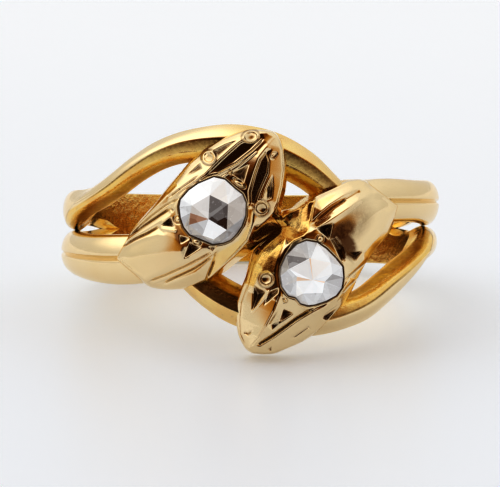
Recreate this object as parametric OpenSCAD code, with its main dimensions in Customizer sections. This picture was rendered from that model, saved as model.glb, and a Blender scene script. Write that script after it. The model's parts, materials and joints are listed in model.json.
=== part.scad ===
// Crossover ring of two snakes, each with a rose-cut stone on its head.
// The shank is the two bodies side by side. Each body swings across the front
// as a tail, passes under the other snake's snout and ends beside its own head.

/* [Shank] */
// Radius of the finger hole
bore_r = 8.65; // [7.9:0.05:9.5]
// Width of one body where the two lie side by side
body_w = 2.05; // [1.8:0.05:2.2]
// Height of the bodies at the back of the shank
back_h = 1.3; // [1.1:0.05:1.6]
// Height of the bodies at the shoulders
shoulder_h = 1.6; // [1.4:0.05:1.8]
// Length of the crossing along the finger, from snout to snout
crossing_l = 11.85; // [11.4:0.05:12.3]

/* [Tails] */
// Height of a tail along its arch
tail_h = 1.4; // [1.2:0.05:1.6]

/* [Heads] */
// Height of a head beside its stone
head_h = 2.7; // [2.4:0.05:3.1]
// Height of a head at its snout
snout_h = 2.2; // [2:0.05:2.5]

/* [Stones] */
// Girdle radius of the stone on the upper head
upper_stone_r = 1.68; // [1.4:0.02:1.75]
// Girdle radius of the stone on the lower head
lower_stone_r = 1.6; // [1.4:0.02:1.75]
// Height of the domed crown above the girdle
stone_crown_h = 0.85; // [0.6:0.05:1.1]

/* [Rest] */
// Tip of the ring's mid plane when it lies on its snout and on its back edge
rest_pitch = 14.4; // [12:0.1:16]
// Sideways lean in that rest
rest_roll = -0.5; // [-3:0.1:3]
// Height of the ring's centre above the surface it lies on
rest_lift = 4.15; // [4:0.01:4.4]
// How far the ring's centre lies behind the middle of its footprint
rest_back = 1.06; // [0.8:0.01:1.3]

/* [Hidden] */
$fa = 4;
$fs = 0.1;

// Length along the unrolled ring for one degree round it
arc = 10.5 * PI / 180;
// Largest step between two sections, in degrees round the ring
body_step = 7.3;
head_step = 6;
// How far the sections reach inside the finger hole before it is bored
bury = 0.4;
seat_gap = 0.04;
girdle_h = 0.16;
stone_base_h = 0.35;
body_z = body_w / 2 - 0.04;
body_e = 0.55;

// Rows of one body, from the tip of the tail to the neck under the head.
// Columns: degrees round the ring, height z, half width on the left of the way
// along it, half width on the right, height at the middle, height at the left
// edge, height at the right edge, depth of the groove along the middle.
upper_body = [
    [-29, -1.20, 0.75, 0.75, 1.20, 0.40, 0.60, 0],
    [-21, -2.15, 0.85, 0.85, 1.25, 0.30, 0.60, 0],
    [-13, -3.10, 0.95, 0.98, 1.30, 0.30, 0.60, 0],
    [ -5, -3.85, 1.00, 1.05, 1.35, 0.30, 0.60, 0],
    [  4, -4.35, 0.95, 1.05, 1.35, 0.30, 0.60, 0],
    [ 13, -4.55, 0.90, 1.02, tail_h, 0.30, 0.60, 0],
    [ 22, -4.55, 0.85, 0.95, tail_h, 0.30, 0.65, 0],
    [ 31, -4.35, 0.80, 0.85, tail_h, 0.30, 0.65, 0],
    [ 40, -3.90, 0.75, 0.78, tail_h, 0.35, 0.60, 0],
    [ 50, -3.05, 0.72, 0.74, tail_h + 0.05, 0.35, 0.55, 0],
    [ 60, -2.20, 0.62, 0.68, tail_h + 0.10, 0.40, 0.45, 0],
    [ 70, -1.45, 0.54, 0.85, tail_h + 0.15, 0.50, 0.30, 0],
    [ 81, -0.95, 0.55, 1.00, shoulder_h, 0.55, 0.25, 0],
    [ 94, -0.62, 0.56, 1.22, shoulder_h, body_e, 0.25, 0],
    [112, -0.86, 0.80, 1.10, shoulder_h - 0.10, body_e, 0.40, 0],
    [134, -body_z + 0.02, body_w / 2, body_w / 2 - 0.05, back_h + 0.08, body_e, body_e, 0],
    [180, -body_z + 0.04, body_w / 2 - 0.02, body_w / 2 - 0.06, back_h, body_e, body_e, 0],
    [228, -body_z - 0.02, body_w / 2 + 0.02, body_w / 2 - 0.02, back_h + 0.08, body_e, body_e, 0],
    [250, -body_z - 0.08, body_w / 2 - 0.05, body_w / 2 + 0.05, shoulder_h - 0.10, body_e, body_e, 0],
    [268, -body_z - 0.22, body_w / 2 - 0.05, body_w / 2 + 0.10, shoulder_h, 0.70, 0.70, 0.10],
    [285, -1.35, 1.08, 1.20, shoulder_h + 0.05, 0.80, 0.75, 0.18],
    [300, -1.48, 1.18, 1.32, shoulder_h + 0.08, 0.90, 0.80, 0.18],
    [314, -1.55, 1.25, 1.38, shoulder_h + 0.10, 1.00, 0.90, 0.18],
    [325, -1.50, 1.22, 1.32, shoulder_h + 0.10, 1.00, 1.00, 0.12],
    [330, -1.45, 1.10, 1.10, shoulder_h + 0.05, 1.00, 1.00, 0.12]
];
lower_body = [
    [-33, -1.20, 0.70, 0.70, 1.20, 0.40, 0.60, 0],
    [-26, -2.05, 0.80, 0.86, 1.25, 0.30, 0.60, 0],
    [-18, -3.02, 0.92, 0.98, 1.30, 0.30, 0.60, 0],
    [ -9, -3.75, 1.02, 1.08, 1.35, 0.30, 0.60, 0],
    [ -1, -4.12, 1.05, 1.11, 1.35, 0.30, 0.60, 0],
    [  7, -4.30, 1.00, 1.06, tail_h, 0.30, 0.60, 0],
    [ 15, -4.30, 0.88, 0.92, tail_h, 0.30, 0.65, 0],
    [ 23, -4.15, 0.78, 0.80, tail_h, 0.30, 0.65, 0],
    [ 31, -3.78, 0.70, 0.72, tail_h, 0.30, 0.65, 0],
    [ 40, -3.12, 0.64, 0.68, tail_h, 0.35, 0.65, 0],
    [ 50, -2.28, 0.58, 0.66, tail_h + 0.05, 0.35, 0.65, 0],
    [ 60, -1.62, 0.50, 0.70, tail_h + 0.10, 0.40, 0.70, 0],
    [ 70, -1.22, 0.58, 0.88, tail_h + 0.15, 0.50, 0.80, 0],
    [ 81, -1.05, 0.78, 1.04, shoulder_h, 0.55, 0.90, 0],
    [ 94, -body_z - 0.02, body_w / 2 - 0.05, body_w / 2 + 0.04, shoulder_h, body_e, 0.95, 0],
    [112, -body_z - 0.02, body_w / 2 - 0.04, body_w / 2 + 0.02, shoulder_h - 0.10, body_e, 0.85, 0],
    [134, -body_z + 0.02, body_w / 2, body_w / 2 - 0.02, back_h + 0.08, body_e, 0.65, 0],
    [180, -body_z + 0.04, body_w / 2 - 0.02, body_w / 2 - 0.06, back_h, body_e, body_e, 0],
    [226, -body_z + 0.02, body_w / 2, body_w / 2 - 0.04, back_h + 0.08, body_e, body_e, 0],
    [246, -body_z - 0.12, body_w / 2 - 0.06, body_w / 2, shoulder_h - 0.10, body_e, 0.70, 0],
    [262, -1.35, 1.00, 1.08, shoulder_h, 0.60, 0.90, 0.10],
    [279, -1.48, 1.08, 1.12, shoulder_h + 0.05, 0.70, 0.95, 0.18],
    [295, -1.46, 1.12, 1.12, shoulder_h + 0.08, 0.80, 0.90, 0.18],
    [311, -1.45, 1.15, 1.17, shoulder_h + 0.10, 0.90, 0.90, 0.18],
    [319, -1.42, 1.12, 1.10, shoulder_h + 0.10, 1.00, 1.00, 0.12],
    [325, -1.30, 0.95, 0.80, shoulder_h + 0.05, 1.00, 1.00, 0.12]
];

// Rows of a head, from the edge over the neck to the tip of the snout, with the same columns.
upper_head = [
    [-40.8, -1.50, 0.85, 0.80, 1.80, 1.30, 1.30, 0],
    [-37.0, -1.45, 1.40, 1.42, 1.95, 1.30, 1.30, 0],
    [-31.5, -1.30, 1.85, 1.70, 2.10, 1.30, 1.30, 0],
    [-20.5, -0.65, 2.60, 2.42, 2.50, 1.40, 1.45, 0],
    [ -9.5,  0.90, 2.80, 2.60, head_h, 1.55, 1.60, 0],
    [ -2.0,  2.45, 2.50, 2.42, head_h - 0.1, 1.60, 1.60, 0],
    [  2.2,  3.80, 1.75, 1.65, snout_h + 0.2, 1.60, 1.60, 0],
    [  5.0,  4.78, 0.78, 0.75, snout_h, 1.55, 1.55, 0],
    [  5.8,  5.05, 0.30, 0.30, snout_h - 0.2, 1.50, 1.50, 0]
];
lower_head = [
    [-45.5, -1.20, 0.85, 0.80, 1.80, 1.30, 1.30, 0],
    [-42.0, -1.05, 1.50, 1.28, 1.95, 1.30, 1.30, 0],
    [-36.0, -0.70, 2.00, 1.58, 2.10, 1.30, 1.30, 0],
    [-25.5,  0.20, 2.72, 2.30, 2.50, 1.40, 1.45, 0],
    [-15.7,  2.05, 2.95, 2.75, head_h, 1.55, 1.60, 0],
    [ -8.5,  3.85, 2.52, 2.50, head_h - 0.1, 1.60, 1.60, 0],
    [ -4.0,  5.20, 1.62, 1.70, snout_h + 0.2, 1.60, 1.60, 0],
    [ -1.4,  6.05, 0.75, 0.78, snout_h, 1.55, 1.55, 0],
    [ -0.6,  6.24, 0.30, 0.30, snout_h - 0.2, 1.50, 1.50, 0]
];

upper_stone_at = [-10.1, 0.89];
lower_stone_at = [-16.5, 2.30];
stone_h = head_h - 0.30;

// A smooth row a share t of the way from row i to the next
function between(rows, i, t) =
    let (last = len(rows) - 1,
         a = rows[max(i - 1, 0)], b = rows[i], c = rows[min(i + 1, last)], d = rows[min(i + 2, last)])
    (2 * b + (c - a) * t + (2 * a - 5 * b + 4 * c - d) * t * t + (3 * b - a - 3 * c + d) * t * t * t) / 2;

function smoothed(rows, step) =
    [for (i = [0 : len(rows) - 2])
        let (n = max(3, ceil(abs(rows[i + 1][0] - rows[i][0]) / step)))
        each [for (k = [0 : n - 1]) between(rows, i, k / n)],
     rows[len(rows) - 1]];

// The direction across row i in the unrolled ring
function across(rows, i) =
    let (a = rows[max(i - 1, 0)], b = rows[min(i + 1, len(rows) - 1)],
         d = [(b[0] - a[0]) * arc, b[1] - a[1]])
    [-d[1], d[0]] / norm(d);

// A point at w across a row and h above the finger hole
function placed(row, n, w, h) =
    let (a = row[0] + n[0] * w / arc, r = bore_r + h)
    [r * sin(a), -r * cos(a), row[1] + n[1] * w];

// Shares of the half width where the section's domed top has its points
top_t = [-1, -0.94, -0.76, -0.48, -0.14, 0, 0.14, 0.48, 0.76, 0.94, 1];

function section(row, n, flat) = concat(
    [placed(row, n, -row[3], -bury)],
    [for (t = top_t)
        placed(row, n, t * (t < 0 ? row[3] : row[2]),
            let (edge = t < 0 ? row[6] : row[5])
            edge + (row[4] - edge) * pow(1 - pow(abs(t), flat), 1 / 2) - (t == 0 ? row[7] : 0))],
    [placed(row, n, row[2], -bury)]);

// A closed solid swept through the rows
module sweep(rows, flat) {
    m = len(top_t) + 2;
    rings = [for (i = [0 : len(rows) - 1]) section(rows[i], across(rows, i), flat)];
    last = (len(rows) - 1) * m;
    sides = [for (i = [0 : len(rows) - 2], j = [0 : m - 1])
        let (a = i * m + j, b = i * m + (j + 1) % m)
        each [[a, b, a + m], [b, b + m, a + m]]];
    ends = [for (j = [1 : m - 2]) each [[0, j + 1, j], [last, last + j, last + j + 1]]];
    polyhedron(points = [for (r = rings) each r], faces = concat(sides, ends), convexity = 10);
}

module at_stone(at) {
    rotate([0, 0, at[0]])
        translate([0, -bore_r, at[1]])
            rotate([90, 0, 0])
                children();
}

module seat(at, r) {
    at_stone(at)
        translate([0, 0, stone_h - girdle_h - stone_base_h - seat_gap])
            cylinder(r = r + seat_gap, h = 3);
}

// One snake with its head at the upper left, before the finger hole is bored
module snake(body, head) {
    sweep(smoothed(body, body_step), 2.2);
    sweep(smoothed(head, head_step), 2.6);
}

module turned_over() {
    rotate([0, 180, 0]) children();
}

// The two snakes, soldered where they touch, with their stone seats cut
module snakes() {
    resize([0, 0, crossing_l])
        difference() {
            union() {
                snake(upper_body, upper_head);
                turned_over() snake(lower_body, lower_head);
            }
            seat(upper_stone_at, upper_stone_r);
            turned_over() seat(lower_stone_at, lower_stone_r);
        }
}

module gold_ring() {
    color("goldenrod")
        difference() {
            snakes();
            cylinder(r = bore_r, h = 40, center = true);
        }
}

// Rose cut: a flat base, a girdle and a domed crown of 24 facets
module rose_stone(r) {
    upper = [for (i = [0 : 5]) [0.56 * r * cos(60 * i), 0.56 * r * sin(60 * i), 0.68 * stone_crown_h]];
    girdle = [for (i = [0 : 11]) [r * cos(30 * i), r * sin(30 * i), 0]];
    low = [for (p = girdle) p - [0, 0, girdle_h]];
    base = [for (p = girdle) [0.9 * p[0], 0.9 * p[1], -girdle_h - stone_base_h]];
    star = [for (i = [0 : 5]) [0, 1 + i, 1 + (i + 1) % 6]];
    kites = [for (i = [0 : 5])
        let (u = 1 + i, v = 1 + (i + 1) % 6, g = 7 + 2 * i, next = 7 + (2 * i + 2) % 12)
        each [[u, g + 1, v], [u, g, g + 1], [v, g + 1, next]]];
    belts = [for (k = [0, 1], i = [0 : 11])
        let (a = 7 + 12 * k + i, b = 7 + 12 * k + (i + 1) % 12)
        each [[a, a + 12, b], [b, a + 12, b + 12]]];
    floor_face = [for (i = [1 : 10]) [31, 31 + i + 1, 31 + i]];
    polyhedron(points = concat([[0, 0, stone_crown_h]], upper, girdle, low, base),
        faces = [for (f = concat(star, kites, belts, floor_face)) [f[2], f[1], f[0]]]);
}

module stone(at, r) {
    color("white")
        at_stone(at)
            translate([0, 0, stone_h])
                rose_stone(r);
}

// The ring as it lies by itself on a level surface
module at_rest() {
    translate([0, rest_back, rest_lift])
        rotate([-rest_pitch, rest_roll, 0])
            children();
}

at_rest() gold_ring();
at_rest() stone(upper_stone_at, upper_stone_r);  // stone_upper
at_rest() turned_over() stone(lower_stone_at, lower_stone_r);  // stone_lower
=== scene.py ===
# Looks of the crossover snake ring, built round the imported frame.
# Shapes are worked out in the ring's own frame, in millimetres: x right, y back,
# z along the finger, with the front where the two heads cross.
import json
import math

import bpy
import numpy as np
from mathutils import Matrix, Vector
from mathutils.geometry import delaunay_2d_cdt


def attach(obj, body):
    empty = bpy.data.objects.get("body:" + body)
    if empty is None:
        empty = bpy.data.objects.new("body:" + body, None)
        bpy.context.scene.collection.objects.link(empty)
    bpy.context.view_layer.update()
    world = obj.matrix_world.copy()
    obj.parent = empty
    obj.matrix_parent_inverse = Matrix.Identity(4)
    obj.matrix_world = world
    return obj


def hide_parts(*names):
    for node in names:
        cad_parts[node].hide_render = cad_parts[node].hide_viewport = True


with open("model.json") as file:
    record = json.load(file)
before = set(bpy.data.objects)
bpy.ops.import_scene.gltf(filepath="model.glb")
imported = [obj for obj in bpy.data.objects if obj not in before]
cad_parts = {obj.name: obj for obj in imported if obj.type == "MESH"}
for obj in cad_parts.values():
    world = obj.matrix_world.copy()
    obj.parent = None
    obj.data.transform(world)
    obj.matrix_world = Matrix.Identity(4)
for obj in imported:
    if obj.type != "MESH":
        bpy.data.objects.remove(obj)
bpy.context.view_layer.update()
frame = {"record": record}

# How the ring lies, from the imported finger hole
FINGER_HOLE = frame["record"]["mounts"][0]
BORE_R = FINGER_HOLE["dims"]["r_mm"]
HOLE_MARK_BELOW_CENTRE = 0.568
FINGER_AXIS = np.array(FINGER_HOLE["axis"])
RING_CENTRE = np.array(FINGER_HOLE["pos_m"]) * 1000 + HOLE_MARK_BELOW_CENTRE * FINGER_AXIS
REST_PITCH = math.asin(FINGER_AXIS[1])
REST_ROLL = math.atan2(FINGER_AXIS[0], FINGER_AXIS[2])
AT_REST = np.array(Matrix.Rotation(REST_ROLL, 3, "Y") @ Matrix.Rotation(-REST_PITCH, 3, "X"))

# The photograph's view: the camera is in the ring's mid plane, in front
PHOTO_W = 500
PHOTO_H = 487
VIEW_DISTANCE = 160.0
PIXELS_PER_MM = 18.35
CENTRE_IN_PHOTO = (250.0, 228.5)
FOCAL_PIXELS = PIXELS_PER_MM * VIEW_DISTANCE

MM = 0.001
INNER_GAP = 0.02

# How rough from the casting the side walls are, from 0 to 1. The same share gives them the deeper orange of
# painted bounce light.
WALL_CAST_AND_BOUNCE = 0.7


def to_row(points):
    """Points of the ring's frame, in millimetres, as points of the row frame, in metres."""
    return (np.asarray(points) @ AT_REST.T + RING_CENTRE) * MM


def seen_at(px, py, height):
    """Angle round the ring and z of the front points seen at photo pixels, from their heights."""
    rho = BORE_R + height
    y = -rho
    for _ in range(14):
        x = (px - CENTRE_IN_PHOTO[0]) * (VIEW_DISTANCE + y) / FOCAL_PIXELS
        y = -np.sqrt(np.maximum(rho * rho - x * x, 0.01))
    z = -(py - CENTRE_IN_PHOTO[1]) * (VIEW_DISTANCE + y) / FOCAL_PIXELS
    return np.arctan2(x, -y), z


def around(angle, height, z):
    """Points at an angle round the ring, a height above the finger hole and z."""
    rho = BORE_R + height
    return np.stack([rho * np.sin(angle), -rho * np.cos(angle), z + 0 * angle], axis=-1)


# Meshes

def new_object(name, mesh, material):
    mesh.materials.append(material)
    obj = bpy.data.objects.new(name, mesh)
    bpy.context.scene.collection.objects.link(obj)
    return obj


def piece(name, points, faces, material, slot, sharp_deg=None, values=None):
    """A mesh piece of the ring from points in the ring's frame, riding on the one body."""
    mesh = bpy.data.meshes.new(name)
    mesh.from_pydata(to_row(points).tolist(), [], [list(f) for f in faces])
    for key, data in (values or {}).items():
        layer = mesh.attributes.new(key, "FLOAT", "POINT")
        layer.data.foreach_set("value", np.asarray(data, np.float32).ravel())
    mesh.update()
    if sharp_deg is None:
        mesh.shade_flat()
    else:
        mesh.shade_smooth()
        mesh.set_sharp_from_angle(angle=math.radians(sharp_deg))
    obj = new_object(name, mesh, material)
    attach(obj, "root")
    return obj


def loft(rings):
    """Points and faces of a closed solid through rings of points, with a fan on each end."""
    count, size, _ = rings.shape
    points = rings.reshape(-1, 3)
    i, j = np.meshgrid(np.arange(count - 1), np.arange(size), indexing="ij")
    a = i * size + j
    b = i * size + (j + 1) % size
    faces = np.stack([a, a + size, b + size, b], axis=-1).reshape(-1, 4).tolist()
    first = len(points)
    points = np.vstack([points, rings[0].mean(0), rings[-1].mean(0)])
    last = (count - 1) * size
    for k in range(size):
        faces.append([first, k, (k + 1) % size])
        faces.append([first + 1, last + (k + 1) % size, last + k])
    a, b, c = (points[[f[n] for f in faces]] for n in (0, 1, 2))
    if np.einsum("ij,ij->", a, np.cross(b, c)) < 0:
        faces = [f[::-1] for f in faces]
    return points, faces


# Strands, close to the rows of the solids. At the shoulders they are wider and touch at their
# outermost point only, so that the small see-through slits stay open beside it.

MID_R = 10.5
MM_PER_DEGREE = MID_R * math.pi / 180
HALF_W = 1.025
BODY_Z = HALF_W - 0.04
EDGE_H = 0.55
BACK_H = 1.3
SHOULDER_H = 1.6
TAIL_H = 1.4

# Columns: degrees round the ring, height z, half width left, half width right,
# height at the middle, at the left edge, at the right edge, groove depth
UPPER_BODY = [
    [-29, -1.2, 0.75, 0.75, 1.2, 0.4, 0.6, 0],
    [-21, -2.15, 0.85, 0.85, 1.25, 0.3, 0.6, 0],
    [-13, -3.1, 0.95, 0.98, 1.3, 0.3, 0.6, 0],
    [-5, -3.85, 1, 1.05, 1.35, 0.3, 0.6, 0],
    [4, -4.35, 0.95, 1.05, 1.35, 0.3, 0.6, 0],
    [13, -4.55, 0.9, 1.02, TAIL_H, 0.3, 0.6, 0],
    [22, -4.55, 0.85, 0.95, TAIL_H, 0.3, 0.65, 0],
    [31, -4.35, 0.8, 0.85, TAIL_H, 0.3, 0.65, 0],
    [40, -3.9, 0.75, 0.84, TAIL_H, 0.35, 0.66, 0],
    [50, -3.05, 0.72, 0.84, TAIL_H + 0.05, 0.35, 0.66, 0],
    [60, -2.2, 0.62, 0.82, TAIL_H + 0.1, 0.4, 0.6, 0],
    [70, -1.45, 0.54, 0.92, TAIL_H + 0.15, 0.5, 0.4, 0],
    [81, -0.95, 0.8, 1, SHOULDER_H, 0.8, 0.25, 0],
    [94, -0.62, 0.78, 1.22, SHOULDER_H, 0.8, 0.25, 0],
    [105, -0.76, 0.64, 1.16, SHOULDER_H - 0.05, 0.7, 0.32, 0],
    [119, -0.9, 0.94, 1.08, SHOULDER_H - 0.14, EDGE_H, 0.45, 0],
    [134, -BODY_Z + 0.02, HALF_W, HALF_W - 0.05, BACK_H + 0.08, EDGE_H, EDGE_H, 0],
    [180, -BODY_Z + 0.04, HALF_W - 0.02, HALF_W - 0.06, BACK_H, EDGE_H, EDGE_H, 0],
    [228, -BODY_Z - 0.02, HALF_W + 0.02, HALF_W - 0.02, BACK_H + 0.08, EDGE_H, EDGE_H, 0],
    [242, -BODY_Z - 0.06, HALF_W + 0.03, HALF_W + 0.03, SHOULDER_H - 0.14, EDGE_H, EDGE_H, 0],
    [256, -BODY_Z - 0.14, 0.98, HALF_W + 0.06, SHOULDER_H - 0.05, 0.7, 0.62, 0.04],
    [268, -BODY_Z - 0.22, HALF_W + 0.1, HALF_W + 0.1, SHOULDER_H, 0.85, 0.7, 0.1],
    [285, -1.35, 1.16, 1.2, SHOULDER_H + 0.05, 0.8, 0.75, 0.18],
    [300, -1.48, 1.18, 1.32, SHOULDER_H + 0.08, 0.9, 0.8, 0.18],
    [314, -1.55, 1.25, 1.38, SHOULDER_H + 0.1, 1, 0.9, 0.18],
    [325, -1.5, 1.22, 1.32, SHOULDER_H + 0.1, 1, 1, 0.12],
    [330, -1.45, 1.1, 1.1, SHOULDER_H + 0.05, 1, 1, 0.12],
]
LOWER_BODY = [
    [-33, -1.2, 0.7, 0.7, 1.2, 0.4, 0.6, 0],
    [-26, -2.05, 0.8, 0.86, 1.25, 0.3, 0.6, 0],
    [-18, -3.02, 0.92, 0.98, 1.3, 0.3, 0.6, 0],
    [-9, -3.75, 1.02, 1.08, 1.35, 0.3, 0.6, 0],
    [-1, -4.12, 1.05, 1.11, 1.35, 0.3, 0.6, 0],
    [7, -4.3, 1, 1.06, TAIL_H, 0.3, 0.6, 0],
    [15, -4.3, 0.88, 0.92, TAIL_H, 0.3, 0.65, 0],
    [23, -4.15, 0.78, 0.8, TAIL_H, 0.3, 0.65, 0],
    [31, -3.78, 0.7, 0.72, TAIL_H, 0.3, 0.65, 0],
    [40, -3.12, 0.64, 0.68, TAIL_H, 0.35, 0.65, 0],
    [50, -2.28, 0.58, 0.66, TAIL_H + 0.05, 0.35, 0.65, 0],
    [60, -1.62, 0.5, 0.7, TAIL_H + 0.1, 0.4, 0.7, 0],
    [70, -1.22, 0.58, 0.88, TAIL_H + 0.15, 0.5, 0.8, 0],
    [81, -1.05, 0.94, 1.04, SHOULDER_H, 0.8, 0.9, 0],
    [94, -BODY_Z - 0.02, HALF_W + 0.08, HALF_W + 0.04, SHOULDER_H, 0.8, 0.95, 0],
    [105, -BODY_Z - 0.02, 0.84, HALF_W + 0.03, SHOULDER_H - 0.05, 0.7, 0.9, 0],
    [119, -BODY_Z - 0.01, HALF_W + 0.03, HALF_W, SHOULDER_H - 0.14, EDGE_H, 0.8, 0],
    [134, -BODY_Z + 0.02, HALF_W, HALF_W - 0.02, BACK_H + 0.08, EDGE_H, 0.65, 0],
    [180, -BODY_Z + 0.04, HALF_W - 0.02, HALF_W - 0.06, BACK_H, EDGE_H, EDGE_H, 0],
    [226, -BODY_Z + 0.02, HALF_W, HALF_W - 0.04, BACK_H + 0.08, EDGE_H, EDGE_H, 0],
    [241, -BODY_Z - 0.08, HALF_W + 0.05, HALF_W, SHOULDER_H - 0.14, EDGE_H, 0.7, 0],
    [255, -1.24, 0.86, 1.04, SHOULDER_H - 0.05, 0.75, 0.8, 0.04],
    [266, -1.38, 1.22, 1.09, SHOULDER_H, 0.85, 0.9, 0.12],
    [279, -1.48, 1.24, 1.12, SHOULDER_H + 0.05, 0.85, 0.95, 0.18],
    [295, -1.46, 1.12, 1.12, SHOULDER_H + 0.08, 0.8, 0.9, 0.18],
    [311, -1.45, 1.15, 1.17, SHOULDER_H + 0.1, 0.9, 0.9, 0.18],
    [319, -1.42, 1.12, 1.1, SHOULDER_H + 0.1, 1, 1, 0.12],
    [325, -1.3, 0.95, 0.8, SHOULDER_H + 0.05, 1, 1, 0.12],
]


def curve(a, b, c, d, t):
    """Points at shares t of the way from b to c, on a smooth curve through all four."""
    return (2 * b + (c - a) * t + (2 * a - 5 * b + 4 * c - d) * t ** 2
            + (3 * b - a - 3 * c + d) * t ** 3) / 2


def smoothed(rows, step):
    """Rows on a smooth curve through the given ones, no more than a step apart."""
    rows = np.array(rows, float)
    out = []
    for i in range(len(rows) - 1):
        count = max(2, math.ceil(abs(rows[i + 1][0] - rows[i][0]) / step))
        t = np.arange(count)[:, None] / count
        out.append(curve(rows[max(i - 1, 0)], rows[i], rows[i + 1], rows[min(i + 2, len(rows) - 1)], t))
    return np.vstack(out + [rows[-1:]])


def fade(x, low, high):
    """0 below low, 1 above high, smooth between them."""
    t = np.clip((x - low) / (high - low), 0, 1)
    return t * t * (3 - 2 * t)


# A share t across a row goes from -1 at its right edge to 1 at its left edge, the one towards the
# other body.

def arch_share(turn):
    """How far each row is on the arch, where the top is cut into three facets."""
    return fade(turn, -40, -20) * (1 - fade(turn, 66, 92))


def arch_edges(turn):
    """Where across each row the arch's flat facet starts and ends, and how many millimetres it falls."""
    near_shoulder = fade(turn, 14, 54)
    crest = -0.28 + 0.62 * near_shoulder
    foot = 0.34 + 0.38 * near_shoulder
    return crest, foot, 0.14 - 0.05 * near_shoulder


FOLD_DEGREES = 56
FOLD_W = -0.6
FOLD_RUN = 4.4
FOLD_RISE = 1.25
FOLD_STEP = 0.10


def shoulder_fold(turn, w):
    """How many millimetres past the arch's fold over the shank each point is, and how clear it is."""
    ahead = (turn - FOLD_DEGREES) * MM_PER_DEGREE
    past = (FOLD_RISE * ahead - FOLD_RUN * (w - FOLD_W)) / math.hypot(FOLD_RISE, FOLD_RUN)
    return past, fade(turn, 52, 60) * (1 - fade(turn, 82, 104))


def parting(turn):
    """How far each row's left side leans away from the other body near the finger, at the shoulders."""
    arch_end = fade(turn, 58, 70) * (1 - fade(turn, 112, 124))
    head_end = fade(turn, 236, 248) * (1 - fade(turn, 288, 300))
    return np.maximum(arch_end, head_end)


DOME_POWER = 2.2
NECK_GROOVE_HALF = 0.075
ROUND_START = 0.3


def body_tops(rows, t):
    """Heights across each row: a low dome with its groove, which turns into three facets along the arch."""
    turn = rows[:, :1]
    mid = rows[:, 4:5]
    crest, foot, fall = arch_edges(turn)
    edge = np.where(t < 0, rows[:, 6:7], rows[:, 5:6])
    dome = edge + (mid - edge) * np.sqrt(1 - np.abs(t) ** DOME_POWER)
    dome -= rows[:, 7:8] * np.exp(-((t / NECK_GROOVE_HALF) ** 2))
    fuller = 1.6 + 0.7 * fade(turn, 25, 50)
    outer = edge + (mid - edge) * (1 - np.clip((crest - t) / (1 + crest), 0, 1) ** fuller)
    flat = mid - fall * (t - crest) / (foot - crest)
    round_off = (np.clip((t - foot) / (1 - foot), 0, 1) + ROUND_START) / (1 + ROUND_START)
    start = ROUND_START / (1 + ROUND_START)
    inner = edge + (mid - fall - edge) * np.sqrt((1 - round_off ** 2) / (1 - start ** 2))
    ridge = np.where(t < crest, outer, np.where(t < foot, flat, inner))
    return dome + (ridge - dome) * arch_share(turn)


ROW_STEP = 0.8
TOP_POINTS = 61
RIGHT_SIDE_POINTS = 3
LEFT_SIDE_POINTS = 3
UNDERSIDE_POINTS = 3
TOP = slice(RIGHT_SIDE_POINTS, -LEFT_SIDE_POINTS - UNDERSIDE_POINTS)


def body_rings(table, turned):
    """Rings of points of one body, with their painted shade and their casting roughness, which also
    gives them painted bounce light. A turned body is rotated half a turn about y."""
    rows = smoothed(table, ROW_STEP)
    turn, left, right = rows[:, :1], rows[:, 2:3], rows[:, 3:4]
    ahead = np.gradient(rows[:, :2], axis=0) * [MM_PER_DEGREE, 1]
    n = np.stack([-ahead[:, 1], ahead[:, 0]], 1) / np.linalg.norm(ahead, axis=1)[:, None]
    t = np.sin(np.linspace(-math.pi / 2, math.pi / 2, TOP_POINTS))[None, :]
    top_w = t * np.where(t < 0, right, left)
    past, folded = shoulder_fold(turn, top_w)
    top_h = body_tops(rows, t) - FOLD_STEP * fade(past, 0, 0.14) * folded
    lean = parting(turn)
    w = np.hstack([-right * 0.93, -right * 0.985, -right, top_w,
                   left, left * (0.985 - 0.15 * lean), left * (0.93 - 0.38 * lean),
                   left * 0.45, 0 * left, -right * 0.45])
    right_h, left_h = top_h[:, :1], top_h[:, -1:]
    h = np.hstack([0 * right + INNER_GAP, right_h * 0.22, right_h * 0.55, top_h,
                   left_h * (0.55 + 0.3 * lean), left_h * (0.22 + 0.3 * lean),
                   np.full((len(rows), UNDERSIDE_POINTS + 1), INNER_GAP)])
    rings = around(np.radians(turn + n[:, :1] * w / MM_PER_DEGREE), h, rows[:, 1:2] + n[:, 1:2] * w)
    if turned:
        rings = rings * [-1, 1, -1]
    return rings, *body_shade_and_bounce(turn, t, h, past, folded)


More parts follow.
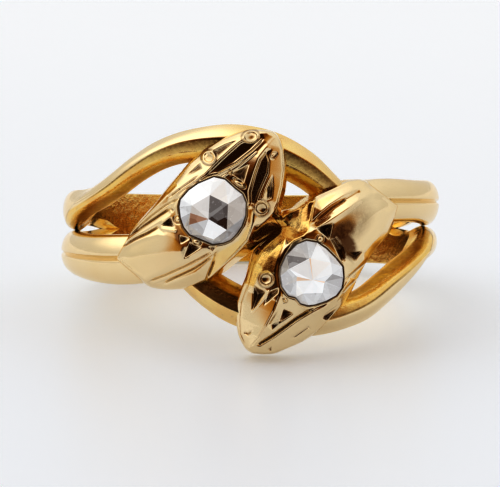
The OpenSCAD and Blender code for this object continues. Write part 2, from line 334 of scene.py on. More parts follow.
def body_shade_and_bounce(turn, t, h, past, folded):
    """Painted shade, and casting roughness with its painted bounce light, of a body's points, from 0 to 1."""
    crest, foot, _ = arch_edges(turn)
    on_inner = fade(t, foot - 0.04, foot + 0.04)
    on_flat = fade(t, crest, crest + 0.05) * (1 - on_inner)
    near_snout = 1 - fade(turn, -4, 12)
    low_side = np.maximum(fade(t, 0.55 * foot + 0.45, 0.95), near_snout)
    cast = np.zeros(h.shape)
    # The arch's flat and inner facets take the walls' deeper orange: painted bounce light and shade.
    facets = np.maximum(0.66 * on_flat, (0.78 + 0.22 * low_side) * on_inner)
    cast[:, TOP] = np.maximum(0.45 * near_snout, facets) * arch_share(turn)
    cast[:, TOP.stop:TOP.stop + LEFT_SIDE_POINTS] = cast[:, TOP.stop - 1:TOP.stop]
    # Low on the walls, near the finger hole, the same painted bounce light.
    cast = np.maximum(cast, WALL_CAST_AND_BOUNCE * fade(h, 0.5, 0.2))
    # Painted shade: the flat facet darkest by its crest, the inner facet darker towards its low side and by
    # the snout, and a painted dark line along the crest.
    flat_shade = (0.95 - 0.7 * fade(t, crest, foot)) * (1 - fade(turn, 20, 44))
    inner_shade = 0.25 * near_snout + 0.42 * low_side * (1 - near_snout)
    dark_line = 0.9 * fade(t, crest - 0.01, crest + 0.04) * (1 - fade(t, crest + 0.08, crest + 0.18))
    dark_line *= 1 - fade(turn, 44, 66)
    arch_shade = np.maximum.reduce([flat_shade * on_flat, inner_shade * on_inner, dark_line])
    # Painted shade just past the fold over the shank.
    fold_shade = 0.45 * folded * fade(past, -0.05, 0.03) * fade(past, 0.14, 0.06)
    shade_and_patina_share = np.zeros(h.shape)
    shade_and_patina_share[:, TOP] = np.maximum(arch_shade * arch_share(turn), fold_shade)
    return shade_and_patina_share, cast


# Heads: a relief in the photo's plane, put on the ring

RELIEF_STEP = 0.4


def polyline_points(line, gap):
    """Points no more than a gap apart along a line of rows."""
    line = np.array(line, float)
    out = [line[:1]]
    for a, b in zip(line[:-1], line[1:]):
        n = max(1, math.ceil(np.linalg.norm(b[:2] - a[:2]) / gap))
        out.append(a + (b - a) * (np.arange(1, n + 1)[:, None] / n))
    return np.vstack(out)


class Relief:
    """Heights above the finger hole over a patch of the photo's plane, in millimetres."""

    def __init__(self, lines):
        points = np.vstack([polyline_points(line, 1.6) for line in lines])
        self.low = points[:, :2].min(0) - 2
        size = np.ceil((points[:, :2].max(0) + 2 - self.low) / RELIEF_STEP).astype(int)
        self.x = self.low[0] + np.arange(size[0] + 1)[None, :] * RELIEF_STEP
        self.y = self.low[1] + np.arange(size[1] + 1)[:, None] * RELIEF_STEP
        self.x, self.y = np.broadcast_arrays(self.x, self.y)
        self.h = np.full(self.x.shape, np.nan)
        self.shade_and_patina = np.zeros(self.x.shape)
        self.cast = np.zeros(self.x.shape)
        flat = delaunay_2d_cdt([Vector(p[:2]) for p in points], [], [], 0, 1e-4)
        corners, faces, origins = flat[0], flat[2], flat[3]
        tall = [points[o[0], 2] for o in origins]
        for face in faces:
            self.fill([(*corners[k], tall[k]) for k in face])
        self.h = np.where(np.isnan(self.h), np.nanmin(self.h), self.h)

    def fill(self, triangle):
        """Heights over one triangle of the folds."""
        (ax, ay, ah), (bx, by, bh), (cx, cy, ch) = triangle
        area = (bx - ax) * (cy - ay) - (by - ay) * (cx - ax)
        if abs(area) < 1e-9:
            return
        x0, y0 = ((np.min(triangle, 0)[:2] - self.low) / RELIEF_STEP).astype(int)
        x1, y1 = ((np.max(triangle, 0)[:2] - self.low) / RELIEF_STEP).astype(int) + 2
        x, y = self.x[y0:y1, x0:x1], self.y[y0:y1, x0:x1]
        u = ((x - ax) * (cy - ay) - (y - ay) * (cx - ax)) / area
        v = ((bx - ax) * (y - ay) - (by - ay) * (x - ax)) / area
        inside = (u >= -1e-6) & (v >= -1e-6) & (u + v <= 1 + 1e-6)
        patch = self.h[y0:y1, x0:x1]
        patch[inside] = (ah + u * (bh - ah) + v * (ch - ah))[inside]

    def blur(self, pixels, outline=None):
        """Softer heights, all over or inside an outline."""
        sigma = pixels / RELIEF_STEP
        reach = int(3 * sigma) + 1
        kernel = np.exp(-0.5 * (np.arange(-reach, reach + 1) / sigma) ** 2)
        kernel /= kernel.sum()
        soft = np.pad(self.h, reach, mode="edge")
        for axis in (0, 1):
            soft = np.apply_along_axis(np.convolve, axis, soft, kernel, "valid")
        share = 1 if outline is None else fade(self.inside(outline), 0, 2 * pixels)
        self.h = self.h + (soft - self.h) * share

    def away(self, line):
        """Distance in pixels of each sample from a line."""
        best = np.full(self.x.shape, 1e9)
        for (ax, ay), (bx, by) in zip(line[:-1], line[1:]):
            dx, dy = bx - ax, by - ay
            t = np.clip(((self.x - ax) * dx + (self.y - ay) * dy) / (dx * dx + dy * dy), 0, 1)
            best = np.minimum(best, np.hypot(self.x - ax - t * dx, self.y - ay - t * dy))
        return best

    def inside(self, outline):
        """Distance in pixels inside an outline, negative outside it."""
        outline = list(outline) + [outline[0]]
        within = np.zeros(self.x.shape, bool)
        for (ax, ay), (bx, by) in zip(outline[:-1], outline[1:]):
            if ay != by:
                crosses = (ay > self.y) != (by > self.y)
                within ^= crosses & (self.x < ax + (self.y - ay) * (bx - ax) / (by - ay))
        return np.where(within, 1, -1) * self.away(outline)

    def pit(self, outline, depth, wall):
        """A pit with sloping walls, as a graver cuts it, darkened with patina and painted shade."""
        share = np.clip(self.inside(outline) / wall, 0, 1)
        self.h = self.h - depth * share
        self.add_shade_and_patina(np.clip(2.2 * share, 0, 1) * min(1, 0.15 + depth / 0.4))

    def groove(self, line, width, depth):
        """A cut along a line, shallow at both ends, darkened with patina and painted shade."""
        share = fade(self.away(line), width / 2, 0)
        ends = [np.hypot(self.x - p[0], self.y - p[1]) for p in (line[0], line[-1])]
        share = share * fade(np.minimum(*ends), -1, min(7, 0.3 * math.dist(line[0], line[-1])))
        self.h = self.h - depth * share
        self.add_shade_and_patina(share ** 2 * min(1, depth / 0.2))

    def oval(self, centre, squash, tilt):
        """Distance in pixels from a centre, counted along the long axis of a tilted oval."""
        c, s = math.cos(math.radians(tilt)), math.sin(math.radians(tilt))
        dx, dy = self.x - centre[0], self.y - centre[1]
        return np.hypot(dx * c + dy * s, (dy * c - dx * s) / squash)

    # Darkens the surface: patina and painted shade in hollows and creases.
    def add_shade_and_patina(self, share):
        self.shade_and_patina = np.maximum(self.shade_and_patina, share)

    def shade_patch(self, centre, long, wide, tilt, share):
        """Painted shade over an oval patch of the surface."""
        self.add_shade_and_patina(share * (1 - fade(self.oval(centre, wide / long, tilt) / long, 0.35, 1)))

    def rib(self, line, width, height):
        share = np.clip(1 - (self.away(line) / (width / 2)) ** 2, 0, 1)
        self.h = self.h + height * share

    def ring(self, centre, outer, inner, height, depth, squash=1.0, tilt=0.0):
        """A small punched circle: a raised rim round a dished middle, with painted shade in the dish and just
        outside the rim.
        """
        r = self.oval(centre, squash, tilt)
        middle, half = (outer + inner) / 2, (outer - inner) / 2
        rim = np.clip(1 - ((r - middle) / half) ** 2, 0, 1)
        dish = np.clip(1 - (r / inner) ** 2, 0, 1)
        groove = np.exp(-(((r - outer - 0.8) / 0.9) ** 2))
        self.h = self.h + height * rim - depth * dish
        self.add_shade_and_patina(np.maximum(dish * 0.32, groove * 0.6))

    def cast_and_bounce_patch(self, outline, share):
        """Metal left rough from the casting inside an outline, coloured with the walls' painted bounce light.
        """
        self.cast = np.maximum(self.cast, share * fade(self.inside(outline), -0.5, 2))

    def bead(self, centre, radius, height, squash=1.0, tilt=0.0):
        """A small dome with a shallow line round it, painted dark as shade."""
        r = self.oval(centre, squash, tilt) / radius
        edge = np.exp(-(((r - 1.1) / 0.2) ** 2))
        self.h = self.h + height * np.sqrt(np.clip(1 - r ** 2, 0, 1)) - 0.05 * edge
        self.add_shade_and_patina(edge * 0.6)

    def seat(self, outline, floor, lip):
        """The stone's seat: a hollow inside an outline, with a thin raised lip round it and painted shadow in
        the gap round the stone.
        """
        d = self.inside(outline)
        self.h = self.h + lip * np.exp(-(((d + 2.4) / 1.3) ** 2))
        self.h = self.h + (np.minimum(floor, self.h) - self.h) * fade(d, -1.3, 0.3)
        self.add_shade_and_patina(np.exp(-(((d + 0.2) / 1.2) ** 2)))

    def sample(self, px, py, values):
        """Values of the relief at photo pixels."""
        gx = np.clip((px - self.low[0]) / RELIEF_STEP, 0, self.x.shape[1] - 1.001)
        gy = np.clip((py - self.low[1]) / RELIEF_STEP, 0, self.x.shape[0] - 1.001)
        i, j = gy.astype(int), gx.astype(int)
        u, v = gy - i, gx - j
        return ((values[i, j] * (1 - v) + values[i, j + 1] * v) * (1 - u)
                + (values[i + 1, j] * (1 - v) + values[i + 1, j + 1] * v) * u)


def along(line, shares):
    """Points at shares of the length of a smooth curve through a line."""
    line = np.array(line, float)[:, :2]
    ends = np.vstack([2 * line[0] - line[1], line, 2 * line[-1] - line[-2]])
    fine = []
    t = np.arange(12)[:, None] / 12
    for a, b, c, d in zip(ends[:-3], ends[1:-2], ends[2:-1], ends[3:]):
        fine.append(curve(a, b, c, d, t))
    fine = np.vstack(fine + [line[-1:]])
    length = np.concatenate([[0], np.cumsum(np.linalg.norm(np.diff(fine, axis=0), axis=1))])
    length /= length[-1]
    return np.stack([np.interp(shares, length, fine[:, k]) for k in (0, 1)], -1)


HEAD_ROWS = 400
HEAD_COLUMNS = 230
LAST_ROW = 0.996
BASE_H = INNER_GAP + 0.01
SIDE_SHARES = np.array([0.66, 0.33, 0.10])
BASE_SHARES = np.linspace(0.95, 0.05, 7)


def head_rings(relief, left_rail, right_rail):
    """Rings of points of a head from the neck to the snout, with their patina and painted shade, and their
    casting roughness with its painted bounce light.
    """
    u = np.linspace(0, LAST_ROW, HEAD_ROWS)
    left, right = along(left_rail, u), along(right_rail, u)
    v = np.linspace(0, 1, HEAD_COLUMNS)[None, :, None]
    flat = left[:, None] * (1 - v) + right[:, None] * v
    h, shade_and_patina, cast = (relief.sample(flat[..., 0], flat[..., 1], values)
                       for values in (relief.h, relief.shade_and_patina, relief.cast))
    angle, z = seen_at(flat[..., 0], flat[..., 1], h)
    sides, added = len(SIDE_SHARES), 2 * len(SIDE_SHARES) + len(BASE_SHARES)

    def closed(top):
        """The top's values, then those of its right side, its base and its left side."""
        base = top[:, :1] + (top[:, -1:] - top[:, :1]) * BASE_SHARES
        return np.hstack([top, np.repeat(top[:, -1:], sides, 1), base, np.repeat(top[:, :1], sides, 1)])

    def side_h(edge):
        return BASE_H + (edge - INNER_GAP) * SIDE_SHARES

    all_h = np.hstack([h, side_h(h[:, -1:]), np.full((HEAD_ROWS, len(BASE_SHARES)), BASE_H),
                       side_h(h[:, :1])[:, ::-1]])
    shade_and_patina = np.pad(shade_and_patina, ((0, 0), (0, added)))
    cast = np.pad(cast, ((0, 0), (0, added)), constant_values=WALL_CAST_AND_BOUNCE)
    return around(closed(angle), all_h, closed(z)), shade_and_patina, cast


# The upper head. Columns: photo pixel x, pixel y, height above the finger hole
UPPER_LEFT = [
    (115.2, 258.5, 1.8), (122, 246, 1.75), (128.3, 235.5, 1.5), (136, 224.5, 1.45), (145, 214.5, 1.45),
    (156.8, 201.5, 1.5), (165, 190.5, 1.5), (177, 176, 1.5), (190, 161.5, 1.55), (206.5, 147.4, 1.6),
    (223, 138, 1.65), (238, 132.4, 1.7), (250, 129.6, 1.75), (264.5, 129.8, 1.8), (273, 131.5, 1.8),
    (276.5, 134, 1.8)]
UPPER_RIGHT = [
    (143.7, 283, 1.6), (152, 287.5, 1.3), (166, 289.5, 1.25), (180, 289, 1.25), (195, 285.5, 1.3),
    (206, 281.3, 1.35), (214, 277, 1.25), (223, 271.5, 1.15), (235, 263, 1.05), (249, 252.5, 0.95),
    (258, 245, 0.9), (268, 237.5, 0.9), (278, 230, 0.9), (284.5, 224, 0.95), (281.5, 214, 1.2),
    (282.5, 203, 1.5), (285.5, 190, 1.6), (287, 176, 1.6), (286.5, 162, 1.65), (284, 149, 1.7),
    (281, 140, 1.75), (276.5, 134, 1.8)]
UPPER_FOLDS = {
    "neck edge": [(116.5, 260, 2), (125.6, 267, 2.1), (137.5, 274.8, 2.05), (143.7, 280.6, 1.9)],
    "outer strip": [(131, 231.5, 1.66), (139, 223, 1.78), (148, 213.8, 1.86), (157, 205.2, 1.94),
        (166, 196.5, 2), (176, 186.5, 2.06)],
    "outer groove": [(128.3, 237, 1.58), (135, 231.2, 1.66), (143, 225.2, 1.74), (152, 219.6, 1.8),
        (160, 214.6, 1.88), (168, 210, 1.95)],
    "second strip": [(126.5, 240.5, 1.82), (136, 234.6, 1.92), (146, 229, 2), (155, 223.6, 2.08),
        (163, 218.6, 2.14), (170, 214.5, 2.2)],
    "second groove": [(125.2, 243.8, 1.82), (135, 238.6, 1.92), (145, 234.1, 1.99), (152, 230, 2.04),
        (158, 227.6, 2.08)],
    "shield top": [(117, 258.5, 2.02), (125.2, 245.8, 2.04), (135.5, 240.5, 2.14), (146, 236.3, 2.24),
        (157.5, 233.8, 2.32), (166.4, 235.2, 2.4), (175.4, 239.4, 2.48), (184, 246.3, 2.52)],
    "shield middle": [(121, 260, 2.12), (133, 257, 2.26), (148, 254.5, 2.37), (163, 252, 2.46),
        (180, 251, 2.55)],
    "shield low": [(143.8, 279.4, 2.02), (157.5, 272.6, 2.18), (166.4, 267.4, 2.27), (183, 258.6, 2.45)],
    "cheek line": [(147, 281, 1.92), (160, 274.5, 2.1), (180, 265, 2.3), (200, 254.5, 2.45),
        (214, 247.6, 2.52)],
    "cheek groove": [(150, 281.4, 1.78), (165, 275.3, 1.96), (185, 266.3, 2.18), (200, 259, 2.31),
        (211, 252.6, 2.4)],
    "cheek strip": [(155, 283, 1.76), (172, 276.3, 1.98), (190, 267.6, 2.18), (202, 260.6, 2.29),
        (212, 254, 2.38)],
    "jaw groove": [(161, 284.8, 1.6), (171, 279.7, 1.76), (193, 269.8, 2), (203, 263.4, 2.12),
        (212.8, 255.8, 2.25)],
    "jaw": [(165, 286, 1.62), (180, 280.3, 1.84), (195, 273.4, 2.02), (206, 266, 2.12), (212, 259.5, 2.2)],
    "jaw end": [(213.6, 257.5, 2.25), (210.5, 266.5, 2.05), (206.5, 277, 1.65)],
    "jaw foot": [(215.6, 257.5, 2.05), (212.4, 267, 1.8), (208.2, 277.5, 1.45)],
    "rim by the jaw": [(217, 249.6, 2.5), (226, 246, 2.52), (233.6, 241.4, 2.53), (239.6, 235.4, 2.53),
        (245, 226.6, 2.53), (247.6, 216, 2.52), (247.8, 206, 2.5)],
    "rim fall": [(255, 208, 2.37), (254.4, 222.8, 2.36), (249, 240, 2.29), (235.8, 255, 2.2),
        (222, 267.5, 2), (209.5, 278.5, 1.45)],
    "side edge": [(270, 216, 2.1), (262.5, 223.6, 2.08), (255, 231.6, 2.04), (249.6, 238.8, 1.98)],
    "outer rim": [(168, 193.5, 1.86), (184.5, 176.8, 1.96), (200, 162, 2.06), (213.5, 149.4, 2.12),
        (227, 142.6, 2.16), (240, 137.6, 2.16), (254, 133.8, 2.1), (267, 132.6, 2)],
    "channel top": [(178, 191, 2.2), (191, 183, 2.32), (204.8, 174.2, 2.42), (218.9, 160, 2.42),
        (238.8, 142.2, 2.3), (250, 136.5, 2.2)],
    "channel top foot": [(181, 191.6, 2.16), (192.6, 184.4, 2.22), (206.4, 175.2, 2.24),
        (220.4, 161.6, 2.24), (240, 144.4, 2.16), (253, 137.4, 2.06)],
    "channel low foot": [(186, 190.4, 2.22), (196, 185, 2.26), (208, 176.2, 2.26), (215, 173, 2.26),
        (233.6, 162.6, 2.25), (250, 149.6, 2.18), (260.4, 138.8, 2.06)],
    "channel low": [(194, 186, 2.46), (207, 177.6, 2.46), (216, 175.3, 2.46), (235.5, 164.8, 2.45),
        (252, 151.7, 2.36), (262, 140.5, 2.16), (270, 134.8, 1.98)],
    "prong line": [(216, 178.6, 2.34), (230.5, 171.8, 2.34), (245, 161.6, 2.34), (257, 151.4, 2.3),
        (266.5, 142, 2.16), (273.6, 135.8, 1.95)],
    "lobe ridge": [(249, 203, 2.54), (247.6, 191.3, 2.56), (253.6, 172, 2.54), (258.4, 158, 2.48),
        (266.6, 147, 2.32), (275.3, 136.8, 1.98)],
    "lobe hollow": [(250.6, 205.5, 2.32), (250.6, 192.6, 2.34), (256, 174, 2.32), (260.6, 160.6, 2.3),
        (267.6, 151, 2.2)],
    "lobe floor": [(254, 205.5, 2.3), (258.2, 192, 2.3), (266, 173.6, 2.28), (267.4, 160, 2.26)],
    "lobe plate": [(255.6, 205.4, 2.42), (261, 191.3, 2.42), (268.8, 173.1, 2.36), (270, 158, 2.28),
        (273.2, 146, 2.16)],
    "inner wall": [(277.4, 137.6, 1.95), (281, 148, 2.02), (283.4, 169.8, 2.06), (281.4, 186.3, 2.08),
        (277.6, 202.9, 2.08), (273, 213, 2.06)],
}
UPPER_GIRDLE = [
    (180.8, 199.6), (179.5, 207), (180.8, 217.8), (184, 227), (189.9, 234.4), (200.4, 238.8),
    (212.9, 244.1), (223, 242.6), (229.7, 240), (235.5, 234.4), (241.3, 226.1), (245, 215.4),
    (245.4, 202.9), (242.1, 194.6), (234.7, 188.8), (224.7, 179.7), (213.9, 177.2), (198.2, 183.8),
    (188.8, 190.5)]

# The lower head, with the same columns
LOWER_LEFT = [
    (365.8, 180.7, 1.5), (358.9, 179.2, 1.45), (348.2, 180.7, 1.4), (335.4, 186.3, 1.4), (320, 193, 1.4),
    (310.6, 197.9, 1.4), (304.8, 201.8, 1.3), (296, 208.2, 1.15), (284, 210.6, 0.95), (280.6, 216, 0.92),
    (280, 226, 0.95), (266, 239.5, 1.15), (252.1, 253.4, 1.4), (245.9, 275.7, 1.42), (240.5, 289.1, 1.36),
    (236.5, 302.5, 1.28), (235.6, 315.9, 1.22), (236.9, 327.5, 1.22), (239.6, 338.2, 1.28),
    (245.9, 348.9, 1.38), (253, 353.4, 1.5)]
LOWER_RIGHT = [
    (398.6, 206, 1.85), (395.6, 217.4, 1.5), (388.7, 233.5, 1.4), (376.5, 248, 1.4), (366.5, 261.8, 1.45),
    (358.4, 276.6, 1.5), (350.3, 293.6, 1.5), (341.4, 307.9, 1.5), (328.9, 320.4, 1.5), (315.5, 332.9, 1.5),
    (302.1, 341.8, 1.5), (286, 348.9, 1.55), (274.4, 353.4, 1.55), (263.7, 354.3, 1.55), (253, 353.4, 1.5)]
LOWER_FOLDS = {
    "neck edge": [(366.8, 188.6, 2), (376, 191.6, 2.1), (385.7, 195.3, 2.1), (396.6, 203.6, 2)],
    "top band": [(364, 185, 1.85), (352, 186, 1.7), (338, 190.5, 1.6), (325, 196, 1.56),
        (316.6, 200.6, 1.6)],
    "band edge": [(312.4, 219.8, 2), (320, 212.6, 2.06), (329.8, 204.1, 2.06), (343.6, 195, 2),
        (354, 189.6, 1.93), (364, 187, 1.92)],
    "band groove": [(314, 223, 1.92), (322.5, 215.6, 1.92), (333.4, 207.3, 1.92), (345, 199.9, 1.92),
        (358, 192.6, 1.95)],
    "second band": [(316.8, 225, 2.12), (330, 214.8, 2.16), (345, 204.8, 2.16), (357, 197, 2.1),
        (365.5, 191.2, 2)],
    "shield front": [(306.5, 232.6, 2.36), (313, 231.6, 2.4), (317.8, 227.6, 2.42), (336, 216, 2.46),
        (349.8, 206.9, 2.42), (359.2, 200, 2.32), (367, 194.4, 2.16)],
    "shield hollow": [(322, 231, 2.36), (337, 224, 2.34), (349, 215, 2.32), (360, 206.6, 2.26),
        (371, 199.6, 2.18), (384, 200, 2.1)],
    "shield middle": [(338, 244, 2.52), (346, 235, 2.56), (357, 225, 2.54), (369, 215, 2.42),
        (381, 208.6, 2.28)],
    "shield fall": [(350, 248.6, 2.5), (358, 243, 2.46), (368, 234, 2.36), (379, 222.5, 2.2),
        (389.5, 212.5, 2.04)],
    "right rim": [(345, 262, 2.5), (352, 264.5, 2.36), (364, 252, 2.24), (375, 240.2, 2.12),
        (385.2, 226.5, 1.98), (392.6, 213, 1.9), (396.3, 207, 1.94)],
    "rim groove": [(347, 277.4, 2.2), (355, 269.5, 2.1), (364, 260, 2.02)],
    "rim strip": [(348.4, 281, 2.34), (338.6, 296.5, 2.38), (325, 306.6, 2.38), (313.6, 312, 2.34),
        (297.6, 321.4, 2.24), (274.4, 338, 2.08), (260.4, 347, 1.86)],
    "inner groove": [(316, 307.5, 2.24), (311.9, 310, 2.2), (296, 319.2, 2.1), (272.6, 335.9, 1.94),
        (258.6, 344.8, 1.8)],
    "rim below the stone": [(286, 297.6, 2.54), (293, 301, 2.58), (300, 305.6, 2.56), (308, 308.4, 2.54)],
    "wedge": [(302, 311, 2.36), (291, 317.4, 2.22), (277, 327, 2.14), (263, 338.6, 2.04),
        (254, 346.2, 1.86)],
    "spike foot": [(284.3, 299, 2.46), (279, 312, 2.26), (271.5, 323.8, 2.12)],
    "spike": [(280.6, 293.6, 2.56), (274.6, 311, 2.5), (266.6, 325.8, 2.32), (258.6, 338.2, 2.06),
        (249.4, 348, 1.68)],
    "left plate": [(255.4, 262, 1.78), (247.6, 290, 1.68), (243.4, 302.5, 1.56), (241.6, 320.4, 1.46),
        (242.3, 333.8, 1.42), (247.8, 346.4, 1.5)],
    "rim by the stone": [(282.6, 293, 2.5), (278.6, 284, 2.44), (276.8, 272, 2.38), (279, 259.5, 2.36),
        (285.5, 248, 2.36), (294, 240, 2.38), (303, 236.4, 2.4)],
    "left channel": [(258.6, 281, 2.1), (262.8, 268, 2.12), (269, 255.5, 2.1), (279, 243, 2.02),
        (289, 235, 1.92), (299, 233.6, 2.1)],
    "left rim": [(256.4, 262, 1.9), (262.4, 250.6, 1.8), (272, 240.8, 1.62), (284, 230.6, 1.5)],
    "notch edge": [(303.6, 203.4, 1.42), (297, 208.4, 1.42), (290, 212.4, 1.36), (284.6, 217, 1.24),
        (281.6, 222, 1.1)],
    "gold facets": [(299.6, 212, 1.52), (296.6, 222, 1.58), (295.4, 229, 1.72)],
    "gold facets low": [(291.6, 218, 1.36), (288.4, 226, 1.42)],
    "upright foot": [(305, 203.6, 1.58), (302.6, 212, 1.64), (301, 222, 1.74), (299.4, 231.4, 1.92)],
    "upright top": [(308.8, 201.6, 1.72), (307.6, 212, 1.8), (306.4, 222, 1.92), (304.8, 230.6, 2.12)],
    "fold edge": [(313.8, 199.6, 1.75), (312.4, 209, 1.83), (310.8, 219, 1.96), (308, 228.4, 2.18)],
}
LOWER_GIRDLE = [
    (280.7, 275.7), (281.6, 266.8), (286.9, 255.2), (297.6, 244.5), (306.6, 240.9), (317.3, 242.7),
    (326.2, 248.9), (335.1, 257.9), (342.3, 266.8), (343.2, 277.5), (341.4, 288.2), (336, 295.4),
    (326.2, 300.7), (315.5, 304.3), (308.4, 305.2), (301.2, 303.4), (295.9, 297.1), (288.7, 295.4),
    (282.5, 286.4)]


def upper_relief():
    """The upper head's engraving."""
    r = Relief([UPPER_LEFT, UPPER_RIGHT, *UPPER_FOLDS.values()])
    r.blur(0.45)
    r.blur(3, [(118, 260), (125.5, 247), (136, 241.6), (146, 237.6), (158, 235), (172, 239), (184, 248),
        (183, 258), (166, 267), (144, 278.6), (137.5, 273.5), (126, 266)])
    r.groove([(122, 241.5), (136, 231), (152, 220.4), (171, 207.6)], 2.4, 0.2)
    r.groove([(120, 248), (136, 238.4), (148, 233), (160, 226)], 2.4, 0.2)
    r.groove([(131, 234.5), (150, 217), (166, 205), (182, 196.4)], 1.8, 0.12)
    r.groove([(168, 198), (184, 186), (199, 175.5)], 2.2, 0.14)
    r.groove([(146, 282.4), (165, 275.3), (185, 266.3), (213, 251.4)], 1.9, 0.12)
    r.groove([(163, 283.5), (171, 279.4), (193, 269.3), (203, 263), (213, 255.3)], 2, 0.15)
    r.groove([(151, 284.5), (180, 275.4), (200, 265.4)], 1.2, 0.04)
    r.pit([(183.2, 177.6), (199.8, 162.6), (202.6, 169.2), (193, 174)], 0.24, 4.6)
    r.pit([(211.5, 150.4), (225, 143.6), (239, 139.6), (229, 148), (216.4, 159.2)], 0.25, 5.2)
    r.ring((208.9, 157.3), 7.4, 4.7, 0.13, 0.11)
    r.blur(2.6, [(241, 133), (250, 129.4), (261, 130.6), (262, 140), (252, 145), (241, 143.6)])
    r.ring((250.8, 136.6), 8.8, 5.9, 0.11, 0.09, squash=0.72, tilt=-8)
    r.groove([(214, 174.5), (235.5, 163.4), (252, 150.4), (264, 138.6)], 2, 0.12)
    r.rib([(222, 177.4), (240, 165.6), (256.2, 152.3)], 1.8, 0.07)
    r.pit([(231, 173.4), (249.4, 163.6), (246, 175), (243.6, 184)], 0.29, 4.8)
    r.bead((230.4, 172.6), 2, 0.14)
    r.bead((238.8, 183.4), 6.4, 0.22, squash=0.42, tilt=34)
    r.pit([(266, 151.5), (269.4, 162), (268.4, 173.4), (260.4, 190.6), (254.8, 205), (249.4, 203.4),
        (249.6, 192.6), (254.6, 172.4), (259.6, 159.4)], 0.06, 1.4)
    r.pit([(272.8, 173.9), (273.6, 187), (272.4, 198.4), (266, 201.6), (266.8, 190)], 0.26, 4.4)
    r.rib([(270.6, 178.6), (265.6, 189.6), (262.6, 199)], 2.2, 0.08)
    r.ring((261.4, 208.3), 7.8, 5.3, 0.12, 0.09)
    r.bead((273.4, 155), 3.4, 0.08, squash=0.6, tilt=-30)
    r.groove([(271, 158.6), (274, 158.4), (276.6, 154.6)], 1.8, 0.14)
    r.groove([(279.4, 140), (282, 150), (283.6, 169.8), (281.4, 186.3), (277.4, 203),
        (272.6, 213)], 1.6, 0.08)
    r.pit([(159, 225.8), (170.9, 216.4), (175, 227.4)], 0.34, 4.2)
    r.rib([(161, 228.8), (168, 229.6), (175.4, 231)], 2.2, 0.1)
    r.bead((178, 219.4), 3.5, 0.22)
    r.pit([(168.4, 206.6), (174.6, 208.6), (172.4, 213.2)], 0.23, 3)
    r.pit([(179, 234.8), (190, 238.6), (180.4, 244)], 0.3, 3.8)
    r.pit([(189.4, 241.4), (201.6, 247.6), (183.2, 259.4)], 0.35, 4.6)
    r.bead((196.4, 241.6), 4.2, 0.14, squash=0.66, tilt=22)
    r.pit([(208, 247), (217, 245.4), (213, 251.6)], 0.28, 3.6)
    r.groove([(215, 256.4), (211.6, 267), (206.6, 279.6)], 2.2, 0.24)
    r.groove([(253.6, 209.5), (252.2, 222.8), (247.6, 239.4), (234.6, 253.6), (222, 266)], 1.6, 0.07)
    # Rough cast metal along the rim by the jaw, coloured with painted bounce light.
    r.cast_and_bounce_patch([(214, 254), (226, 247), (238, 240), (247, 226), (249, 209), (254, 209), (252, 224),
        (247, 240), (234, 255), (216, 272), (208, 278)], 0.4)
    r.seat(UPPER_GIRDLE, 1.83, 0.02)
    r.blur(0.48)
    return r


